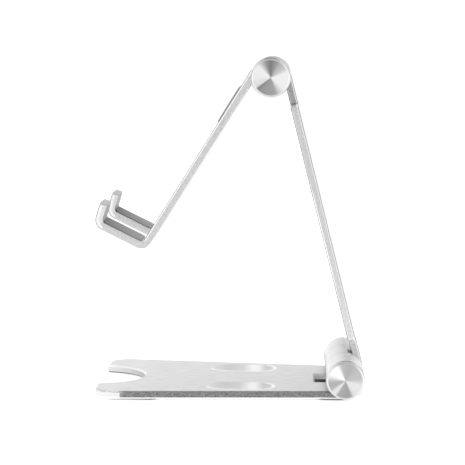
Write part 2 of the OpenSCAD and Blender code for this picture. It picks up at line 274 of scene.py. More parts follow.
def slab(outline, profile, bands, dishes=(), dish_profile=(), ease=None):
    """A flat slab: the outline at each (inset, height) of the profile, with dished recesses
    in its upper face, whose profile is (inset, depth, material). bands are the materials of
    the lower face, of each band and of the upper face."""
    bm = bmesh.new()
    rings = [loop_at(bm, inset(outline, d, ease), w) for d, w in profile]
    for k in range(len(rings) - 1):
        bridge(bm, rings[k], rings[k + 1], bands[k + 1])
    cap(bm, [rings[0]], bands[0])
    rims = []
    top = profile[-1][1]
    for dish in dishes:
        levels = [loop_at(bm, inset(dish, d), top - z) for d, z, _ in dish_profile]
        for k in range(len(levels) - 1):
            bridge(bm, levels[k], levels[k + 1], dish_profile[k + 1][2])
        cap(bm, [levels[-1]], dish_profile[-1][2])
        rims.append(levels[0])
    cap(bm, [rings[-1]] + rims, bands[-1])
    return bm


def cut_across(bm, stations):
    """Extra edges across a slab at each station along X, so that it can bend there."""
    for s in stations:
        bmesh.ops.bisect_plane(
            bm, geom=bm.verts[:] + bm.edges[:] + bm.faces[:], dist=SAME_POINT,
            plane_co=(s, 0, 0), plane_no=(1, 0, 0))


def place(bm, mapping):
    """Moves every vertex from millimetres in a part's own frame to metres in the row frame."""
    for v in bm.verts:
        v.co = mapping(v.co)


def rolled(s, out):
    """Where a plate lies that runs along +s and rolls round its hinge where s is negative."""
    if s >= 0:
        return s, out
    turn = -s / KNUCKLE_R
    radius = out - ROLL_SINK * (turn / ROLL) ** 2
    return -radius * math.sin(turn), radius * math.cos(turn)


ROLL_L = ROLL * KNUCKLE_R
ROLL_CUTS = [-ROLL_L * i / ROLL_STEPS for i in range(ROLL_STEPS)]


def lathe(profile, centre, y_sign=1, steps=128, bands=None, swell=None):
    """Turns a closed (y, radius) profile about an axis along Y through centre."""
    bm = bmesh.new()
    rings = []
    for i in range(steps):
        a = 2 * math.pi * i / steps
        ring = []
        direction = Vector((math.cos(a), 0, math.sin(a)))
        for y, r in profile:
            reach = r + (swell(direction) if swell and r > POCKET_R else 0.0)
            at = centre + (direction * reach + Vector((0, y_sign * y, 0))) * MM
            ring.append(bm.verts.new(at))
        rings.append(ring)
    n = len(profile)
    for i in range(steps):
        a, b = rings[i], rings[(i + 1) % steps]
        for k in range(n):
            m = (k + 1) % n
            face = bm.faces.new((a[k], a[m], b[m], b[k]))
            face.material_index = bands[k] if bands else 0
    return bm


def stadium(cx, cy, length, width, steps=16):
    """A slot outline with round ends along X."""
    r = width / 2
    reach = length / 2 - r
    return arc(cx + reach, cy, r, -90, 90, steps) + arc(cx - reach, cy, r, 90, 270, steps)


def round_rect(cx, cy, length, width, r, steps=6):
    """A rectangle with rounded corners."""
    x, y = length / 2 - r, width / 2 - r
    return (arc(cx + x, cy - y, r, -90, 0, steps) + arc(cx + x, cy + y, r, 0, 90, steps)
            + arc(cx - x, cy + y, r, 90, 180, steps) + arc(cx - x, cy - y, r, 180, 270, steps))


# ---------------------------------------------------------------- materials
def material(name):
    """A new material, its node tree and its shader."""
    mat = bpy.data.materials.new(name)
    mat.use_nodes = True
    tree = mat.node_tree
    return mat, tree, tree.nodes["Principled BSDF"]


def add(tree, kind, **values):
    """A node with its settings and input values."""
    node = tree.nodes.new(kind)
    for key, value in values.items():
        if hasattr(node, key):
            setattr(node, key, value)
        else:
            node.inputs[key.replace("_", " ")].default_value = value
    return node


def object_noise(tree, scale, detail=2.0, roughness=0.5, brushed=1.0):
    """A grain in object space; brushed below 1 draws it out along X."""
    where = add(tree, "ShaderNodeTexCoord")
    drawn = add(tree, "ShaderNodeVectorMath", operation="MULTIPLY")
    tree.links.new(where.outputs["Object"], drawn.inputs[0])
    drawn.inputs[1].default_value = (brushed, 1.0, 1.0)
    grain = add(tree, "ShaderNodeTexNoise", Scale=scale, Detail=detail, Roughness=roughness)
    tree.links.new(drawn.outputs[0], grain.inputs["Vector"])
    return grain.outputs["Fac"]


def ramp(tree, source, stops):
    """A colour ramp over (position, grey) stops."""
    node = tree.nodes.new("ShaderNodeValToRGB")
    elements = node.color_ramp.elements
    while len(elements) < len(stops):
        elements.new(1.0)
    for element, (at, grey) in zip(elements, stops):
        element.position = at
        element.color = (grey, grey, grey * 1.005, 1.0)
    tree.links.new(source, node.inputs["Fac"])
    return node.outputs["Color"]


def bump(tree, shader, height, strength, distance):
    node = add(tree, "ShaderNodeBump", Strength=strength, Distance=distance)
    tree.links.new(height, node.inputs["Height"])
    tree.links.new(node.outputs["Normal"], shader.inputs["Normal"])


def scaled(tree, source, low, high, start=0.0, end=1.0):
    node = add(tree, "ShaderNodeMapRange")
    node.inputs["From Min"].default_value = start
    node.inputs["From Max"].default_value = end
    node.inputs["To Min"].default_value = low
    node.inputs["To Max"].default_value = high
    tree.links.new(source, node.inputs["Value"])
    return node.outputs["Result"]


def along(tree, axis):
    """The place along an axis, in metres."""
    where = add(tree, "ShaderNodeTexCoord")
    parts = add(tree, "ShaderNodeSeparateXYZ")
    tree.links.new(where.outputs["Object"], parts.inputs[0])
    return parts.outputs[axis]


def gained(tree, colour, gain):
    """The colour multiplied by gain."""
    node = add(tree, "ShaderNodeVectorMath", operation="SCALE")
    tree.links.new(colour, node.inputs[0])
    tree.links.new(gain, node.inputs["Scale"])
    return node.outputs[0]


def faded(tree, colour, axis, start, end, most):
    """The colour, multiplied by most at start and by 1 at end along an axis."""
    return gained(tree, colour, scaled(tree, along(tree, axis), most, 1.0, start, end))


def blasted(name, dark, light, grain=BLAST_GRAIN, rough=(0.36, 0.5), depth=0.35, fade=None,
            brushed=1.0):
    """Bead-blasted aluminium: a fine grain in colour, roughness and relief.
    fade is (axis, from, to, gain): the colour is multiplied by gain at from and by 1 at to."""
    mat, tree, shader = material(name)
    coarse = object_noise(tree, grain, 3.0, 0.65, brushed)
    fine = object_noise(tree, grain * 3.1, 2.0, 0.6)
    colour = ramp(tree, coarse, [(0.3, dark), (0.7, light)])
    if fade:
        colour = faded(tree, colour, *fade)
    tree.links.new(colour, shader.inputs["Base Color"])
    tree.links.new(scaled(tree, fine, *rough), shader.inputs["Roughness"])
    shader.inputs["Metallic"].default_value = 0.9
    bump(tree, shader, fine, depth, 0.00006)
    return mat


def dished(name, stops, reach):
    """Blasted metal with soft streaks along X between two places, which are painted reflections."""
    mat, tree, shader = material(name)
    share = scaled(tree, along(tree, "X"), 0.0, 1.0, *reach)
    grain = object_noise(tree, BLAST_GRAIN, 3.0, 0.65)
    colour = gained(tree, ramp(tree, share, stops), scaled(tree, grain, 0.94, 1.06))
    tree.links.new(colour, shader.inputs["Base Color"])
    tree.links.new(scaled(tree, grain, 0.36, 0.5), shader.inputs["Roughness"])
    shader.inputs["Metallic"].default_value = 0.7
    bump(tree, shader, grain, 0.3, 0.00005)
    return mat


def polished(name, grey=0.84, rough=(0.14, 0.24)):
    """Diamond-cut edge: bright, with a faint waviness."""
    mat, tree, shader = material(name)
    wave = object_noise(tree, 900.0, 2.0, 0.5)
    tree.links.new(ramp(tree, wave, [(0.2, grey * 0.94), (0.8, grey)]), shader.inputs["Base Color"])
    tree.links.new(scaled(tree, wave, *rough), shader.inputs["Roughness"])
    shader.inputs["Metallic"].default_value = 0.5
    return mat


def wedges_about(tree, stops, centre):
    """Greys by the angle round a hinge axis, and the place across the axis they come from."""
    where = add(tree, "ShaderNodeTexCoord")
    shift = add(tree, "ShaderNodeVectorMath", operation="SUBTRACT")
    tree.links.new(where.outputs["Object"], shift.inputs[0])
    shift.inputs[1].default_value = centre
    parts = add(tree, "ShaderNodeSeparateXYZ")
    tree.links.new(shift.outputs[0], parts.inputs[0])
    flat = add(tree, "ShaderNodeCombineXYZ")
    tree.links.new(parts.outputs["X"], flat.inputs["X"])
    tree.links.new(parts.outputs["Z"], flat.inputs["Y"])
    angle = add(tree, "ShaderNodeTexGradient", gradient_type="RADIAL")
    tree.links.new(flat.outputs[0], angle.inputs["Vector"])
    return ramp(tree, angle.outputs["Fac"], stops), flat


def barrel(name, stops, centre):
    """Soft streaks by angle round the hinge, which are painted highlights and shade, under a fine
    grain.
    """
    mat, tree, shader = material(name)
    streaks, _ = wedges_about(tree, stops, centre)
    grain = object_noise(tree, BLAST_GRAIN, 3.0, 0.6)
    colour = gained(tree, streaks, scaled(tree, grain, 0.92, 1.04))
    tree.links.new(colour, shader.inputs["Base Color"])
    tree.links.new(scaled(tree, grain, 0.3, 0.42), shader.inputs["Roughness"])
    shader.inputs["Metallic"].default_value = 0.2
    shader.inputs["Specular IOR Level"].default_value = 0.1
    bump(tree, shader, grain, 0.2, 0.00004)
    return mat


def turned(name, stops, centre):
    """A face-turned disc: bright and dark wedges round its centre, which are painted reflections,
    over fine grooves.
    """
    mat, tree, shader = material(name)
    wedges, flat = wedges_about(tree, stops, centre)
    rings = add(tree, "ShaderNodeTexWave", wave_type="RINGS", rings_direction="Z",
                Scale=900.0, Distortion=0.4, Detail=2.0)
    tree.links.new(flat.outputs[0], rings.inputs["Vector"])
    colour = gained(tree, wedges, scaled(tree, rings.outputs["Fac"], 0.93, 1.0))
    tree.links.new(colour, shader.inputs["Base Color"])
    tree.links.new(scaled(tree, rings.outputs["Fac"], 0.3, 0.42), shader.inputs["Roughness"])
    shader.inputs["Metallic"].default_value = 0.55
    bump(tree, shader, rings.outputs["Fac"], 0.25, 0.00003)
    return mat


def rubber(name, dark, light, fade=None):
    """Matt silicone with a faint mottle and a soft skin; fade is as in blasted."""
    mat, tree, shader = material(name)
    mottle = object_noise(tree, 1500.0, 3.0, 0.6)
    colour = ramp(tree, mottle, [(0.3, dark), (0.7, light)])
    if fade:
        colour = faded(tree, colour, *fade)
    tree.links.new(colour, shader.inputs["Base Color"])
    tree.links.new(scaled(tree, mottle, 0.55, 0.72), shader.inputs["Roughness"])
    shader.inputs["Sheen Weight"].default_value = 0.15
    bump(tree, shader, mottle, 0.3, 0.00008)
    return mat


def plain_steel(name, grey):
    """Zinc-plated steel of the hidden fasteners."""
    mat, tree, shader = material(name)
    grain = object_noise(tree, 1800.0, 2.0, 0.5)
    tree.links.new(ramp(tree, grain, [(0.3, grey * 0.85), (0.7, grey)]), shader.inputs["Base Color"])
    tree.links.new(scaled(tree, grain, 0.25, 0.4), shader.inputs["Roughness"])
    shader.inputs["Metallic"].default_value = 1.0
    bump(tree, shader, grain, 0.15, 0.00003)
    return mat


FACE = blasted("blasted_face", 0.70, 0.86)
# The base's top is a little lighter towards the front: painted light
TOP = blasted("blasted_base_top", 0.59, 0.78, grain=TOP_GRAIN, fade=("X", -0.05, 0.03, 1.06),
              brushed=0.12)
# The base's dark sides are painted shade, lifted by painted light towards the front corners
BASE_EDGE = blasted("blasted_base_edge", 0.09, 0.33, grain=EDGE_GRAIN, depth=0.6,
                    fade=("X", *FRONT_FADE, 2.2))
# The front corners are lighter than the sides: painted light
CORNER = blasted("blasted_base_corner", 0.66, 0.8)
# The notch's wall: a darker grey that is painted shade, lighter towards the front with painted light
NOTCH_WALL = blasted("blasted_notch_wall", 0.42, 0.52, fade=("X", -0.054, -0.038, 1.4))
# The slot's wall is near white: painted light in place of the shade inside the slot
SLOT_WALL = blasted("blasted_slot_wall", 0.94, 1.0)
# The scoops carry painted reflections along their length
SCOOP = dished("dished_scoop", SCOOP_REFLECTIONS, (LOWER.x - (SCOOP_REACH + SCOOP_L / 2) * MM,
                                               LOWER.x - (SCOOP_REACH - SCOOP_L / 2) * MM))
ARM_EDGE = blasted("blasted_arm_edge", 0.48, 0.72, grain=EDGE_GRAIN)
HOLDER_EDGE = blasted("blasted_holder_edge", 0.5, 0.72, grain=EDGE_GRAIN)
# The tongue's darker sides are painted shade
TONGUE_EDGE = blasted("blasted_tongue_edge", 0.34, 0.5, grain=LINE_GRAIN)
HOLDER_BACK_FACE = blasted("blasted_holder_back", 0.56, 0.68)
LIP_EDGE = blasted("blasted_lip_edge", 0.64, 0.84, grain=EDGE_GRAIN)
# The lips' dark inner faces are painted shade, each lighter towards one side
LIP_INSIDE = [blasted("blasted_lip_inside_near", 0.4, 0.5, fade=("Y", -0.033, -0.028, 1.6)),
              blasted("blasted_lip_inside_far", 0.2, 0.28, fade=("Y", 0.014, 0.018, 1.7))]
LIP_TIP = blasted("blasted_lip_tip", 0.42, 0.5)
# The dark upper bevel of the base's sides is painted shade, lifted towards the front by painted
# light
BASE_BEVEL = blasted("blasted_base_bevel", 0.15, 0.34, grain=EDGE_GRAIN,
                     fade=("X", *FRONT_FADE, 2.6))
# Dark lines: painted reflection along the chamfers and round the lips, painted shade above the upper
# shoulders
PAINTED_DARK_LINE = blasted("blasted_painted_dark_line", 0.24, 0.34, grain=LINE_GRAIN)
SHADED = blasted("blasted_shaded_edge", 0.14, 0.26, grain=LINE_GRAIN)
BRIGHT = polished("polished_chamfer", 0.93)
RIM = polished("polished_scoop_rim", 0.97, (0.3, 0.4))
# The barrels, the caps' rims and the seams carry painted highlights and shade by angle
BARRELS = [barrel("lower_barrel", LOWER_BARREL_SHADING, LOWER),
           barrel("upper_barrel", UPPER_BARREL_SHADING, UPPER)]
MIDDLES = [barrel("lower_crease_shade", CREASE_SHADING, LOWER), BARRELS[1]]
RIMS = [barrel("lower_cap_rim", CAP_RIM_SHADING, LOWER), barrel("upper_cap_rim", CAP_RIM_SHADING, UPPER)]
SEAMS = [barrel("lower_seam", SEAM_SHADING, LOWER), barrel("upper_seam", SEAM_SHADING, UPPER)]
PAD = rubber("grey_silicone", 0.22, 0.32, fade=("X", -0.05, -0.034, 0.5))
STRIP = rubber("light_silicone", 0.26, 0.34)
FOOT = rubber("foot_silicone", 0.02, 0.04)
STEEL = plain_steel("zinc_steel", 0.6)
NYLON = rubber("black_nylon", 0.03, 0.05)


# ---------------------------------------------------------------- outlines
def mirrored(side):
    """The other side of an outline that is the same across the stand, in reverse order."""
    return [(s, -y) for s, y in reversed(side)]


def base_outline():
    """The base plate: s runs forwards from the lower axis."""
    slope = (BASE_FRONT_HALF - HINGE_HALF) / (BASE_REACH - FLARE_FROM)
    taper = math.degrees(math.atan(slope))
    corner_s = BASE_REACH - BASE_CORNER_R
    corner_y = HINGE_HALF + slope * (corner_s - FLARE_FROM)
    corner_y -= BASE_CORNER_R / math.cos(math.radians(taper))
    notch_s = BASE_REACH - NOTCH_DEPTH + NOTCH_R
    mouth = math.degrees(math.acos((notch_s - BASE_REACH) / NOTCH_R))
    side = [(-ROLL_L, -SLOT_HALF), (-ROLL_L, -HINGE_HALF), (FLARE_FROM, -HINGE_HALF)]
    side += arc(corner_s, -corner_y, BASE_CORNER_R, -90 - taper, 0)
    notch = arc(notch_s, 0, NOTCH_R, 180 + mouth, 180 - mouth, NOTCH_STEPS)
    return side + notch + mirrored(side) + [(BASE_SLOT, SLOT_HALF), (BASE_SLOT, -SLOT_HALF)]


def arm_outline(length):
    """The arm plate: s runs from the lower to the upper axis."""
    low, high = SHOULDER_LOW, length - SHOULDER_HIGH
    r, y = SHOULDER_R, HINGE_HALF - SHOULDER_R
    side = [(-ROLL_L, -MIDDLE_HALF)]
    side += arc(low - FILLET_R, -MIDDLE_HALF - FILLET_R, FILLET_R, 90, 0, 5)
    side += arc(low + r, -y, r, 180, 270, 6) + arc(high - r, -y, r, -90, 0, 6)
    side += arc(high + FILLET_R, -MIDDLE_HALF - FILLET_R, FILLET_R, 180, 90, 5)
    side += [(length + ROLL_L, -MIDDLE_HALF)]
    return side + mirrored(side)


def holder_outline(end):
    """The holder before it is bent: s runs down the plate, the floors and the lips."""
    inner = HOOKS_HALF - HOOK_W
    r, g = LIP_CORNER_R, GAP_CORNER_R
    gap = HOLDER_RUNS[0] - GAP_CLEAR
    slope = (HOOKS_HALF - HINGE_HALF) / (HOLDER_L - FLARE_FROM)
    side = [(-ROLL_L, -SLOT_HALF), (-ROLL_L, -HINGE_HALF), (FLARE_FROM, -HINGE_HALF)]
    for s in (HOLDER_RUNS[0] - EASE_HALF, HOLDER_RUNS[0] + EASE_HALF):
        side += [(s, -HINGE_HALF - slope * (s - FLARE_FROM))]
    side += [(HOLDER_L, -HOOKS_HALF)]
    side += arc(end - r, -HOOKS_HALF + r, r, -90, 0) + arc(end - r, -inner - r, r, 0, 90)
    side += arc(gap + g, -inner + g, g, 270, 180, 6)
    return side + mirrored(side) + [(HOLDER_SLOT, SLOT_HALF), (HOLDER_SLOT, -SLOT_HALF)]


# ---------------------------------------------------------------- how the plates lie
ARM_ALONG = (UPPER - LOWER).normalized()
ARM_REAR = Vector((ARM_ALONG.z, 0, -ARM_ALONG.x))
ARM_LENGTH = (UPPER - LOWER).length / MM
SLOPE = math.radians(HOLDER_SLOPE)
HOLDER_DOWN = Vector((-math.cos(SLOPE), 0, -math.sin(SLOPE)))
HOLDER_FACE = Vector((-math.sin(SLOPE), 0, math.cos(SLOPE)))
HOLDER_FRONT = KNUCKLE_R + HOLDER_RISE
HOLDER_BACK = HOLDER_FRONT - HOLDER_T
TURNS = [math.radians(180 - FLOOR_ANGLE), math.radians(180 - LIP_ANGLE)]
BENDS = [(BEND_R, TURNS[0]), (LIP_R, TURNS[1])]
TANGENTS = [(r + HOLDER_T) * math.tan(turn / 2) for r, turn in BENDS]
HOLDER_RUNS = [HOLDER_L - TANGENTS[0], HOOK_FLOOR - sum(TANGENTS), HOOK_LIP - TANGENTS[1]]


def bend_length(i):
    """The length of a bend along the middle of the sheet."""
    return (BENDS[i][0] + HOLDER_T / 2) * BENDS[i][1]


FLOOR_FROM = HOLDER_RUNS[0] + bend_length(0)
HOLDER_END = sum(HOLDER_RUNS) + bend_length(0) + bend_length(1)


def on_base(co):
    """From the base plate's flat frame to the row frame."""
    s, out = rolled(co.x, -co.z)
    return LOWER + Vector((-s, co.y, -out)) * MM


def on_arm(co):
    """From the arm plate's flat frame to the row frame."""
    if co.x > ARM_LENGTH / 2:
        back, out = rolled(ARM_LENGTH - co.x, co.z)
        s = ARM_LENGTH - back
    else:
        s, out = rolled(co.x, co.z)
    return LOWER + (ARM_ALONG * s + ARM_REAR * out + Vector((0, co.y, 0))) * MM


def bent(s, out):
    """Where a point of the flat holder lies once its two bends are made."""
    depth = out - HOLDER_BACK
    at, turn = Vector((0, HOLDER_BACK)), 0.0
    for i, run in enumerate(HOLDER_RUNS):
        along = Vector((math.cos(turn), math.sin(turn)))
        inward = Vector((-math.sin(turn), math.cos(turn)))
        if s <= run or i == len(BENDS):
            return at + along * s + inward * depth
        s -= run
        r_out = BENDS[i][0] + HOLDER_T
        centre = at + along * run + inward * r_out
        part = min(1.0, s / bend_length(i))
        mid = turn + BENDS[i][1] * part
        if s < bend_length(i):
            return centre - Vector((-math.sin(mid), math.cos(mid))) * (r_out - depth)
        s -= bend_length(i)
        turn += BENDS[i][1]
        at = centre - Vector((-math.sin(turn), math.cos(turn))) * r_out


def on_holder(co):
    """From the flat holder's frame to the row frame, with its bends made."""
    s, out = (rolled(co.x, co.z) if co.x < 0 else bent(co.x, co.z))
    return UPPER + (HOLDER_DOWN * s + HOLDER_FACE * out + Vector((0, co.y, 0))) * MM


def bend_cuts():
    """Stations along the flat holder where it has to be able to bend."""
    cuts, s = [], 0.0
    for i in range(len(BENDS)):
        s += HOLDER_RUNS[i]
        cuts += [s + bend_length(i) * k / BEND_STEPS for k in range(BEND_STEPS + 1)]
        s += bend_length(i)
    return cuts


FACE_OF_BASE = PLATE_T - KNUCKLE_R


def plate_profile(low, high):
    """The edge of a plate with a chamfer on both of its faces, as (inset, height)."""
    return [(CHAMFER, low), (0, low + CHAMFER), (0, high - CHAMFER), (CHAMFER, high)]


def arm_profile(low, high):
    """As plate_profile, with the outer part of each chamfer as a band of its own."""
    near, far = CHAMFER - CHAMFER_LINE, CHAMFER_LINE
    return [(CHAMFER, low), (near, low + far), (0, low + CHAMFER), (0, high - CHAMFER),
            (near, high - far), (CHAMFER, high)]


# ---------------------------------------------------------------- pieces
def base_panel():
    """The base plate, with its notch and slot walls, scoops, sides darkened with painted shade and
    corners brightened with painted light.
    """
    top, bright, edge, notch, slot, bevel, shaded, corner, scoop, rim = range(10)
    scoops = [stadium(SCOOP_REACH, y * SCOOP_PITCH / 2, SCOOP_L, SCOOP_W) for y in (-1, 1)]
    dish = [(d, z, rim if z <= RIM_DEPTH else scoop) for d, z in SCOOP_SECTION]
    bm = slab(base_outline(), plate_profile(-KNUCKLE_R + SKIN, FACE_OF_BASE),
              [top, bright, edge, bright, top], scoops, dish)
    cut_across(bm, ROLL_CUTS + [CORNER_FROM])
    for face in bm.faces:
        s, y, z = face.calc_center_median()
        inside = abs(y) < HINGE_HALF - INNER_BY and s > 0
        if face.material_index == edge and inside:
            face.material_index = notch if s > BASE_SLOT + INNER_BY else slot
        # the edge beyond CORNER_FROM takes the painted light of the front corners
        if face.material_index == edge and s > CORNER_FROM:
            face.material_index = corner
        # the sides' upper bevel is painted shade, and so is the lower bevel inside the notch and
        # slot
        if face.material_index == bright and not inside and z > FACE_OF_BASE - CHAMFER:
            face.material_index = bevel
        elif face.material_index == bright and inside and z < CHAMFER - KNUCKLE_R:
            face.material_index = shaded
        # the scoop's rim stays bright, a painted highlight, only at its rear end and along its near
        # side
        if face.material_index == rim:
            beside = y - math.copysign(SCOOP_PITCH / 2, y)
            if beside > -SCOOP_W / 5 and s > SCOOP_REACH - SCOOP_L / 2 + RIM_END:
                face.material_index = top
    place(bm, on_base)
    return new_piece("base_panel", bm, "base",
                     [TOP, BRIGHT, BASE_EDGE, NOTCH_WALL, SLOT_WALL, BASE_BEVEL, SHADED,
                      CORNER, SCOOP, RIM])


def arm_panel():
    """The arm plate, outlined along its chamfers with a painted dark reflection, with painted shade
    on its shoulders at the lower end and on the tongue's sides at the upper end.
    """
    plain, bright, edge, tongue, shaded, line = range(6)
    profile = arm_profile(KNUCKLE_R - PLATE_T, KNUCKLE_R - SKIN)
    bm = slab(arm_outline(ARM_LENGTH), profile, [plain, line, bright, edge, bright, line, plain])
    cut_across(bm, ROLL_CUTS + [ARM_LENGTH - s for s in ROLL_CUTS])
    for face in bm.faces:
        s, y, _ = face.calc_center_median()
        upper = s > ARM_LENGTH / 2
        inside = abs(y) < HINGE_HALF - SHOULDER_IN
        # the tongue's sides at the upper end: painted shade
        if face.material_index == edge and inside and upper:
            face.material_index = tongue
        at_shoulder = inside and MIDDLE_HALF + TONGUE_CLEAR < abs(y)
        # the lower shoulders get painted shade, and just above the upper shoulders a dark line of
        # painted shade
        if face.material_index in (bright, edge, line) and at_shoulder:
            above = s - (ARM_LENGTH - SHOULDER_HIGH)
            if not upper:
                face.material_index = shaded
            elif SHOULDER_LINE[0] < above < SHOULDER_LINE[1]:
                face.material_index = line
    place(bm, on_arm)
    return new_piece("arm_panel", bm, "arm",
                     [FACE, BRIGHT, ARM_EDGE, TONGUE_EDGE, SHADED, PAINTED_DARK_LINE])


def holder_panel():
    """The holder: polished along the plate's front, only broken on its back and round the hooks.
    Two narrow bands beside the back are an outline round the lips, a dark one of painted reflection
    and a bright one of painted highlight, and plain edge elsewhere. The lips' inner faces carry
    painted shade."""
    plain, bright, edge, back, near_lip, tip, lip_edge, far_lip, line, outer, inner = range(11)
    front = HOLDER_FRONT - SKIN
    profile = [(FINE_EDGE, HOLDER_BACK), (0, HOLDER_BACK + FINE_EDGE), (0, HOLDER_BACK + LIP_LINE),
               (0, HOLDER_BACK + LIP_BAND), (0, front - CHAMFER),
               (CHAMFER - CHAMFER_LINE, front - CHAMFER_LINE), (CHAMFER, front)]
    bm = slab(holder_outline(HOLDER_END), profile,
              [back, edge, outer, inner, edge, bright, line, plain],
              ease=lambda s: 1.0 if s < HOLDER_RUNS[0] else FINE_EDGE / CHAMFER)
    cut_across(bm, ROLL_CUTS + bend_cuts())
    lip_from = FLOOR_FROM + HOLDER_RUNS[1]
    for face in bm.faces:
        s, y, _ = face.calc_center_median()
        at_lip, at_tip = s > lip_from, s > HOLDER_END - TIP_L
        if face.material_index in (bright, line) and s > HOLDER_RUNS[0]:
            face.material_index = edge
        # the lips' inner faces: painted shade
        if face.material_index == plain and at_lip:
            face.material_index = near_lip if y < 0 else far_lip
        # round the lips: the outer band is a dark line of painted reflection, the inner band a
        # bright band of painted highlight
        if face.material_index in (outer, inner):
            round_lip = line if face.material_index == outer else bright
            face.material_index = tip if at_tip else round_lip if at_lip else edge
        if face.material_index == edge and s > lip_from + bend_length(1) / 3:
            face.material_index = tip if at_tip else lip_edge
    place(bm, on_holder)
    return new_piece("holder_panel", bm, "holder",
                     [FACE, BRIGHT, HOLDER_EDGE, HOLDER_BACK_FACE, LIP_INSIDE[0], LIP_TIP,
                      LIP_EDGE, LIP_INSIDE[1], PAINTED_DARK_LINE])


def outer_knuckle(name, body, centre, y_sign, pocket_from, level, swell=None):
    """A knuckle at one end of a hinge, bored for the screw, with a pocket for its head or nut."""
    c, end = KNUCKLE_BREAK, HINGE_HALF - SKIN
    profile = [(OUTER_FROM, BORE_R), (OUTER_FROM, KNUCKLE_R - c), (OUTER_FROM + c, KNUCKLE_R),
               (end - c, KNUCKLE_R), (end, KNUCKLE_R - c), (end, POCKET_R),
               (pocket_from, POCKET_R), (pocket_from, BORE_R)]
    # the end chamfer and end face carry the seam's painted highlights and shade
    bands = [0, 0, 0, 1, 1, 0, 0, 0]
    bm = lathe(profile, centre, y_sign, bands=bands, swell=swell)
    return new_piece(name, bm, body, [BARRELS[level], SEAMS[level]])


def middle_knuckle(name, centre, level):
    """The arm's knuckle, bored for its bush; its near end has greys of its own, which on the lower
    knuckle hold a dark band of painted shade in the crease.
    """
    c, half = KNUCKLE_BREAK, MIDDLE_HALF
    profile = [(-half, BUSH_R), (-half, KNUCKLE_R - c), (-half + c, KNUCKLE_R),
               (CREASE_L - half, KNUCKLE_R), (half - c, KNUCKLE_R), (half, KNUCKLE_R - c),
               (half, BUSH_R)]
    bm = lathe(profile, centre, bands=[0, 0, 1, 0, 0, 0, 0])
    return new_piece(name, bm, "arm", [BARRELS[level], MIDDLES[level]])


def holder_swell(direction):
    """How far the holder's knuckles stand out round the roll of its plate."""
    away = HOLDER_RISE * direction.dot(HOLDER_FACE)
    across = HOLDER_RISE ** 2 - away ** 2
    return max(0.0, away + math.sqrt(KNUCKLE_R ** 2 - across) - KNUCKLE_R)


def end_cap(node, body, centre, y_sign, level, face):
    """A cap with a spigot, a chamfer, a narrow lip and a turned face that is a shallow cone."""
    seat, top, rim = HINGE_HALF, HINGE_HALF + CAP_T, CAP_R - CAP_CHAMFER
    profile = [(seat - CAP_SPIGOT_L, 0), (seat - CAP_SPIGOT_L, CAP_SPIGOT_R),
               (seat, CAP_SPIGOT_R), (seat, CAP_R - CAP_BREAK), (seat + CAP_BREAK, CAP_R),
               (top - CAP_CHAMFER, CAP_R), (top - CAP_LIP_DROP, rim),
               (top - CAP_LIP_DIP, rim - CAP_LIP), (top - CAP_CONE, 0.0)]
    # the chamfer and lip carry painted highlights and shade, the turned face painted reflections
    bm = lathe(profile, centre, y_sign, bands=[0, 0, 0, 0, 0, 1, 1, 2, 0])
    bmesh.ops.remove_doubles(bm, verts=bm.verts[:], dist=SAME_POINT)
    piece = new_piece(node + "_turned", bm, body,
                      [BARRELS[level], RIMS[level], face])
    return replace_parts(piece, node)


def soft_profile(low, high, r):
    """The section of a pad: a broken lower edge and a rounded upper one."""
    steps = [(r * (1 - math.cos(a)), high - r * (1 - math.sin(a)))
             for a in [math.pi / 2 * i / 4 for i in range(5)]]
    return [(PAD_BREAK, low), (0, low + PAD_BREAK)] + steps


def pad(name, node, body, outline, low, high, mapping, finish, round_r=PAD_ROUND, cuts=()):
    """A silicone piece in place of a CAD node."""
    profile = soft_profile(low, high, round_r)
    bm = slab(outline, profile, [0] * (len(profile) + 1))
    cut_across(bm, cuts)
    place(bm, mapping)
    piece = new_piece(name, bm, body, [finish], smooth_deg=50)
    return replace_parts(piece, node)


def hook_pads():
    """They lie on the floors and climb a little into both bends."""
    s0 = FLOOR_FROM - bend_length(0) * math.radians(CLIMB_PLATE) / TURNS[0]
    s1 = FLOOR_FROM + HOLDER_RUNS[1] + bend_length(1) * math.radians(CLIMB_LIP) / TURNS[1]
    for side, word in ((-1, "near"), (1, "far")):
        y = side * (HOOKS_HALF - HOOK_W / 2)
        outline = round_rect((s0 + s1) / 2, y, s1 - s0, HOOK_PAD_W, PAD_CORNER_R)
        pad("hook_cushion_" + word, "hook_pad_" + word, "holder", outline, HOLDER_FRONT - SKIN,
            HOLDER_FRONT + HOOK_PAD_T, on_holder, PAD, cuts=bend_cuts())


def back_pad():
    """The strip on the holder plate, sunk in a shallow pocket."""
    outline = round_rect(BACK_PAD_FROM + BACK_PAD_L / 2, 0, BACK_PAD_L, BACK_PAD_W, PAD_CORNER_R)
    low = HOLDER_FRONT - BACK_PAD_SINK
    pad("back_cushion", "back_pad", "holder", outline, low, low + BACK_PAD_T, on_holder, STRIP)


def feet():
    """The four feet, which are built upside down so that the rounded edge is the lower one."""
    for node in [n for n in NODES if n.startswith("foot_")]:
        low, high = (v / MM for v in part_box(node))
        middle, size = (low + high) / 2, high - low
        outline = round_rect(middle.x, middle.y, size.x, size.y, PAD_CORNER_R)
        pad(node.replace("foot_", "foot_pad_"), node, "base", outline, 0, high.z,
            lambda co, top=high.z: Vector((co.x, co.y, top - co.z)) * MM, FOOT, FOOT_ROUND)


def dress_inner_nodes():
    """The CAD nodes that stay: nylon bushes and friction washers, and steel fasteners."""
    nylon = ("bush", "washer_near", "washer_far")
    for name, node in NODES.items():
        if node.hide_render:
            continue
        finish = NYLON if any(word in name for word in nylon) else STEEL
        node.data.materials.clear()
        node.data.materials.append(finish)


